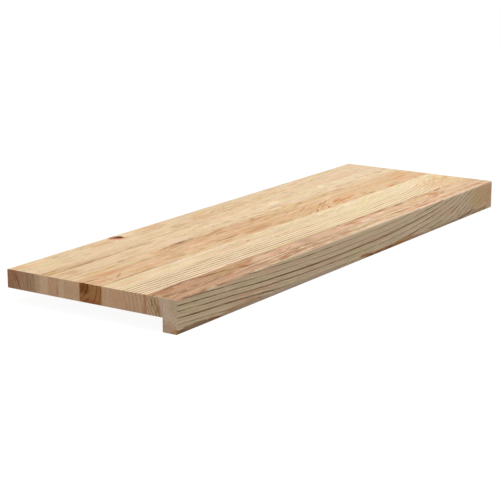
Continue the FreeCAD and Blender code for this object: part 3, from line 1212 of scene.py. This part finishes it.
@dataclass(frozen=True)
class Board:
    """The glued-up board: six oak staves, numbered from the back edge."""

    stave_1: Timber = Timber(
        seed=1.0,
        left=(232, 205, 168),
        right=(233, 207, 174),
        warm=(224, 190, 148),
        blotch=0.4,
        figure=Figure(pith=(-100.0, 46.0), pitch=6.2, first=20.0, line=0.16, waver=1.4),
        end=(192, 148, 117),
        end_line=0.35,
        top_marks=STAVE_1_TOP,
        end_marks=STAVE_1_END,
        knots=(Knot((199, 9.5), (10, 7), 5.0),),
    )
    stave_2: Timber = Timber(
        seed=2.0,
        left=(231, 202, 165),
        right=(237, 213, 180),
        warm=(218, 186, 144),
        blotch=0.35,
        figure=Figure(pith=(-30.0, 30.0), pitch=7.0, first=62.0, line=0.2, waver=1.6),
        grain=1.15,
        end=(234, 196, 160),
        end_line=0.05,
        top_marks=STAVE_2_TOP,
        end_marks=STAVE_2_END,
    )
    stave_3: Timber = Timber(
        seed=3.0,
        left=(230, 200, 164),
        right=(234, 200, 160),
        warm=(208, 170, 126),
        blotch=0.4,
        figure=Figure(pith=(60, -60), pitch=6.0, first=96.0, line=0.18, waver=1.2),
        end=(227, 187, 148),
        end_line=0.05,
        top_marks=STAVE_3_TOP,
    )
    stave_4: Timber = Timber(
        seed=4.0,
        left=(225, 192, 154),
        right=(230, 196, 155),
        warm=(216, 162, 118),
        blotch=0.5,
        figure=Figure(
            pith=(106, 3),
            pitch=6.5,
            first=122.0,
            line=0.4,
            shift=((0, 0), (400, 2), (450, -2), (560, -36), (640, -44), (800, -46)),
            vigour=((0, 0.3), (380, 0.3), (470, 0.45), (560, 0.45), (640, 0.25), (800, 0.3)),
        ),
        end=(190, 135, 87),
        end_line=2.6,
        top_marks=STAVE_4_TOP,
        end_marks=STAVE_4_END,
    )
    stave_5: Timber = Timber(
        seed=5.0,
        left=(238, 212, 177),
        right=(241, 220, 183),
        warm=(226, 196, 152),
        blotch=0.25,
        figure=Figure(
            pith=(77, 34),
            pitch=5.85,
            first=185.5,
            line=1.9,
            width=0.33,
            gleam=0.6,
            shift=(
                (0, 0), (100, 4.9), (200, 9.5), (300, 11.4), (400, 11.8),
                (500, 9.9), (600, 4.9), (680, -3), (740, -20), (800, -34),
            ),
            vigour=(
                (0, 1), (80, 0.95), (250, 0.55), (420, 0.34), (560, 0.32),
                (650, 0.38), (710, 0.31), (740, 0.08), (800, 0.05),
            ),
            band=(164.0, 180.0, 220.0, 230.0),
            waver=0.35,
        ),
        end=(229, 185, 147),
        end_line=0.3,
        ring_tint=(110, 66, 38),
        grain=0.85,
        top_marks=STAVE_5_TOP,
        end_marks=STAVE_5_END,
    )
    stave_6: Timber = Timber(
        seed=6.0,
        left=(195, 155, 122),
        right=(232, 197, 160),
        warm=(200, 154, 114),
        blotch=0.4,
        figure=Figure(pith=(140, 50), pitch=4.6, first=221.0, line=0.26, waver=1.6),
        end=(223, 190, 151),
        end_line=0.95,
        grain=1.3,
        top_marks=STAVE_6_TOP,
        end_marks=STAVE_6_END,
    )

    def dress(self) -> None:
        """Gives each stave its wood."""
        for name, timber in self.staves().items():
            timber.dress(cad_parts[name])
            LOG.info("%s dressed with %d marks", name, len(timber.marks()))

    def staves(self) -> dict[str, Timber]:
        """The staves by name, from the back edge to the front."""
        return {field.name: getattr(self, field.name) for field in fields(self)}


@dataclass(frozen=True)
class Nosing:
    """The deeper strip along the front edge."""

    timber: Timber = Timber(
        seed=7.0,
        left=(227, 202, 168),
        right=(233, 209, 177),
        warm=(214, 184, 146),
        blotch=0.3,
        figure=Figure(
            pith=(180, 90),
            pitch=5.2,
            first=236.0,
            line=1.25,
            width=0.34,
            crown=0.4,
            foot=(36.5, 33),
            twin=((0, 0.3), (520, 0.3), (640, 0.6), (800, 0.6)),
            shift=(
                (0, 2.4), (100, -1.9), (200, -6.1), (300, -8.2), (400, -8.4),
                (500, -6.8), (600, -1.8), (640, 1.7), (680, 7.6), (700, 13),
                (720, 18), (740, 23), (800, 35),
            ),
            vigour=(
                (0, 0.4), (6, 1), (150, 0.95), (350, 0.8), (500, 0.6),
                (640, 0.75), (715, 0.7), (750, 0.2), (800, 0.05),
            ),
            waver=0.5,
        ),
        end=(232, 204, 177),
        end_line=0.08,
        ring_tint=(122, 89, 53),
        top_marks=NOSING_TOP,
        front_marks=NOSING_FRONT,
        end_marks=NOSING_END,
    )

    def dress(self) -> None:
        """Gives the nosing its wood."""
        self.timber.dress(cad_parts["nosing"])
        LOG.info("nosing dressed with %d marks", len(self.timber.marks()))


@dataclass(frozen=True)
class Studio:
    """A pale floor, a white surround and soft light from above.

    Attributes:
        floor_reach: Half the floor's side, in metres.
        floor_tone: The floor's own colour.
        floor_shine: How much of the floor the camera sees as plain white.
        white: The strength at which that white closes the floor's own tone.
        lamp_at: The lamp's place, in metres.
        lamp_size: The lamp's length and depth, in metres.
        lamp_power: The lamp's power, in watts.
        sky: The strength of the light from all round.
    """

    floor_reach: float = 9.0
    floor_tone: Colour = (188, 188, 188)
    floor_shine: float = 0.75
    white: float = 1.25
    lamp_at: tuple[float, float, float] = (0.1, 0.1, 1.9)
    lamp_size: Point = (2.0, 1.4)
    lamp_power: float = 24.0
    sky: float = 0.5

    def build(self) -> None:
        """Lays the floor, hangs the lamp and sets the surround."""
        self.lay_floor()
        self.hang_lamp()
        self.set_surround()

    def seen_white(self, graph: Graph) -> Wire:
        """Tells the camera's own looks from the light on the tread.

        Args:
            graph: The node tree that asks.

        Returns:
            1 where the camera looks, straight or through gloss and glass.
        """
        rays = graph.node("ShaderNodeLightPath").outputs
        seen = Wire(graph, rays["Is Camera Ray"]).most(Wire(graph, rays["Is Glossy Ray"]))
        return seen.most(Wire(graph, rays["Is Transmission Ray"]))

    def lay_floor(self) -> None:
        """A wide sheet under the tread that keeps a faint shadow."""
        mesh = bpy.data.meshes.new("floor")
        form = bmesh.new()
        bmesh.ops.create_grid(form, x_segments=1, y_segments=1, size=self.floor_reach)
        form.to_mesh(mesh)
        form.free()
        floor = bpy.data.objects.new("floor", mesh)
        bpy.context.scene.collection.objects.link(floor)
        material = bpy.data.materials.new("floor")
        material.use_nodes = True
        graph = Graph(material.node_tree)
        plain = graph.node("ShaderNodeBsdfDiffuse", {}, {"Color": linear(self.floor_tone)})
        glow = graph.node("ShaderNodeEmission", {}, {"Color": WHITE, "Strength": self.white})
        share = self.seen_white(graph) * self.floor_shine
        seen = graph.node("ShaderNodeMixShader", {}, {0: share, 1: plain.outputs[0], 2: glow.outputs[0]})
        graph.node("ShaderNodeOutputMaterial", {}, {"Surface": seen.outputs[0]})
        mesh.materials.append(material)

    def hang_lamp(self) -> None:
        """One large soft lamp that looks at the tread."""
        light = bpy.data.lights.new("overhead", "AREA")
        light.shape = "RECTANGLE"
        light.size, light.size_y = self.lamp_size
        light.energy = self.lamp_power
        lamp = bpy.data.objects.new("overhead", light)
        lamp.location = self.lamp_at
        lamp.rotation_euler = (-Vector(self.lamp_at)).to_track_quat("-Z", "Y").to_euler()
        bpy.context.scene.collection.objects.link(lamp)

    def set_surround(self) -> None:
        """White to the camera, and a low even light on the tread."""
        world = bpy.data.worlds.new("surround")
        bpy.context.scene.world = world
        world.use_nodes = True
        graph = Graph(world.node_tree)
        strength = self.seen_white(graph) * (1.0 - self.sky) + self.sky
        back = graph.node("ShaderNodeBackground", {}, {"Color": WHITE, "Strength": strength})
        graph.node("ShaderNodeOutputWorld", {}, {"Surface": back.outputs[0]})


@dataclass(frozen=True)
class Viewpoint:
    """The photograph's point of view.

    Attributes:
        at: The camera's place, in metres.
        yaw: How far it looks to the right of straight ahead, in degrees.
        pitch: How far it looks down, in degrees.
        reach: Its focal length in widths of the picture.
        far: How far it sees, in metres.
    """

    at: tuple[float, float, float] = (-1.7723, -1.1425, 0.5203)
    yaw: float = 56.163
    pitch: float = 13.915
    reach: float = 3.21
    far: float = 100.0

    SENSOR = 36.0
    LEVEL = 90.0

    def build(self) -> None:
        """Sets up the camera."""
        lens = bpy.data.cameras.new("photo_view")
        lens.sensor_width = self.SENSOR
        lens.lens = self.SENSOR * self.reach
        lens.clip_end = self.far
        camera = bpy.data.objects.new("photo_view", lens)
        camera.location = self.at
        turn = (math.radians(self.LEVEL - self.pitch), 0.0, math.radians(-self.yaw))
        camera.rotation_euler = Euler(turn)
        bpy.context.scene.collection.objects.link(camera)
        bpy.context.scene.camera = camera


def main() -> None:
    """Builds the view, the studio and the tread's finish."""
    logging.basicConfig(level=logging.INFO, format="%(name)s: %(message)s")
    bpy.context.scene.view_settings.view_transform = "Standard"
    Viewpoint().build()
    Studio().build()
    Board().dress()
    Nosing().dress()


if __name__ == "__main__":
    main()
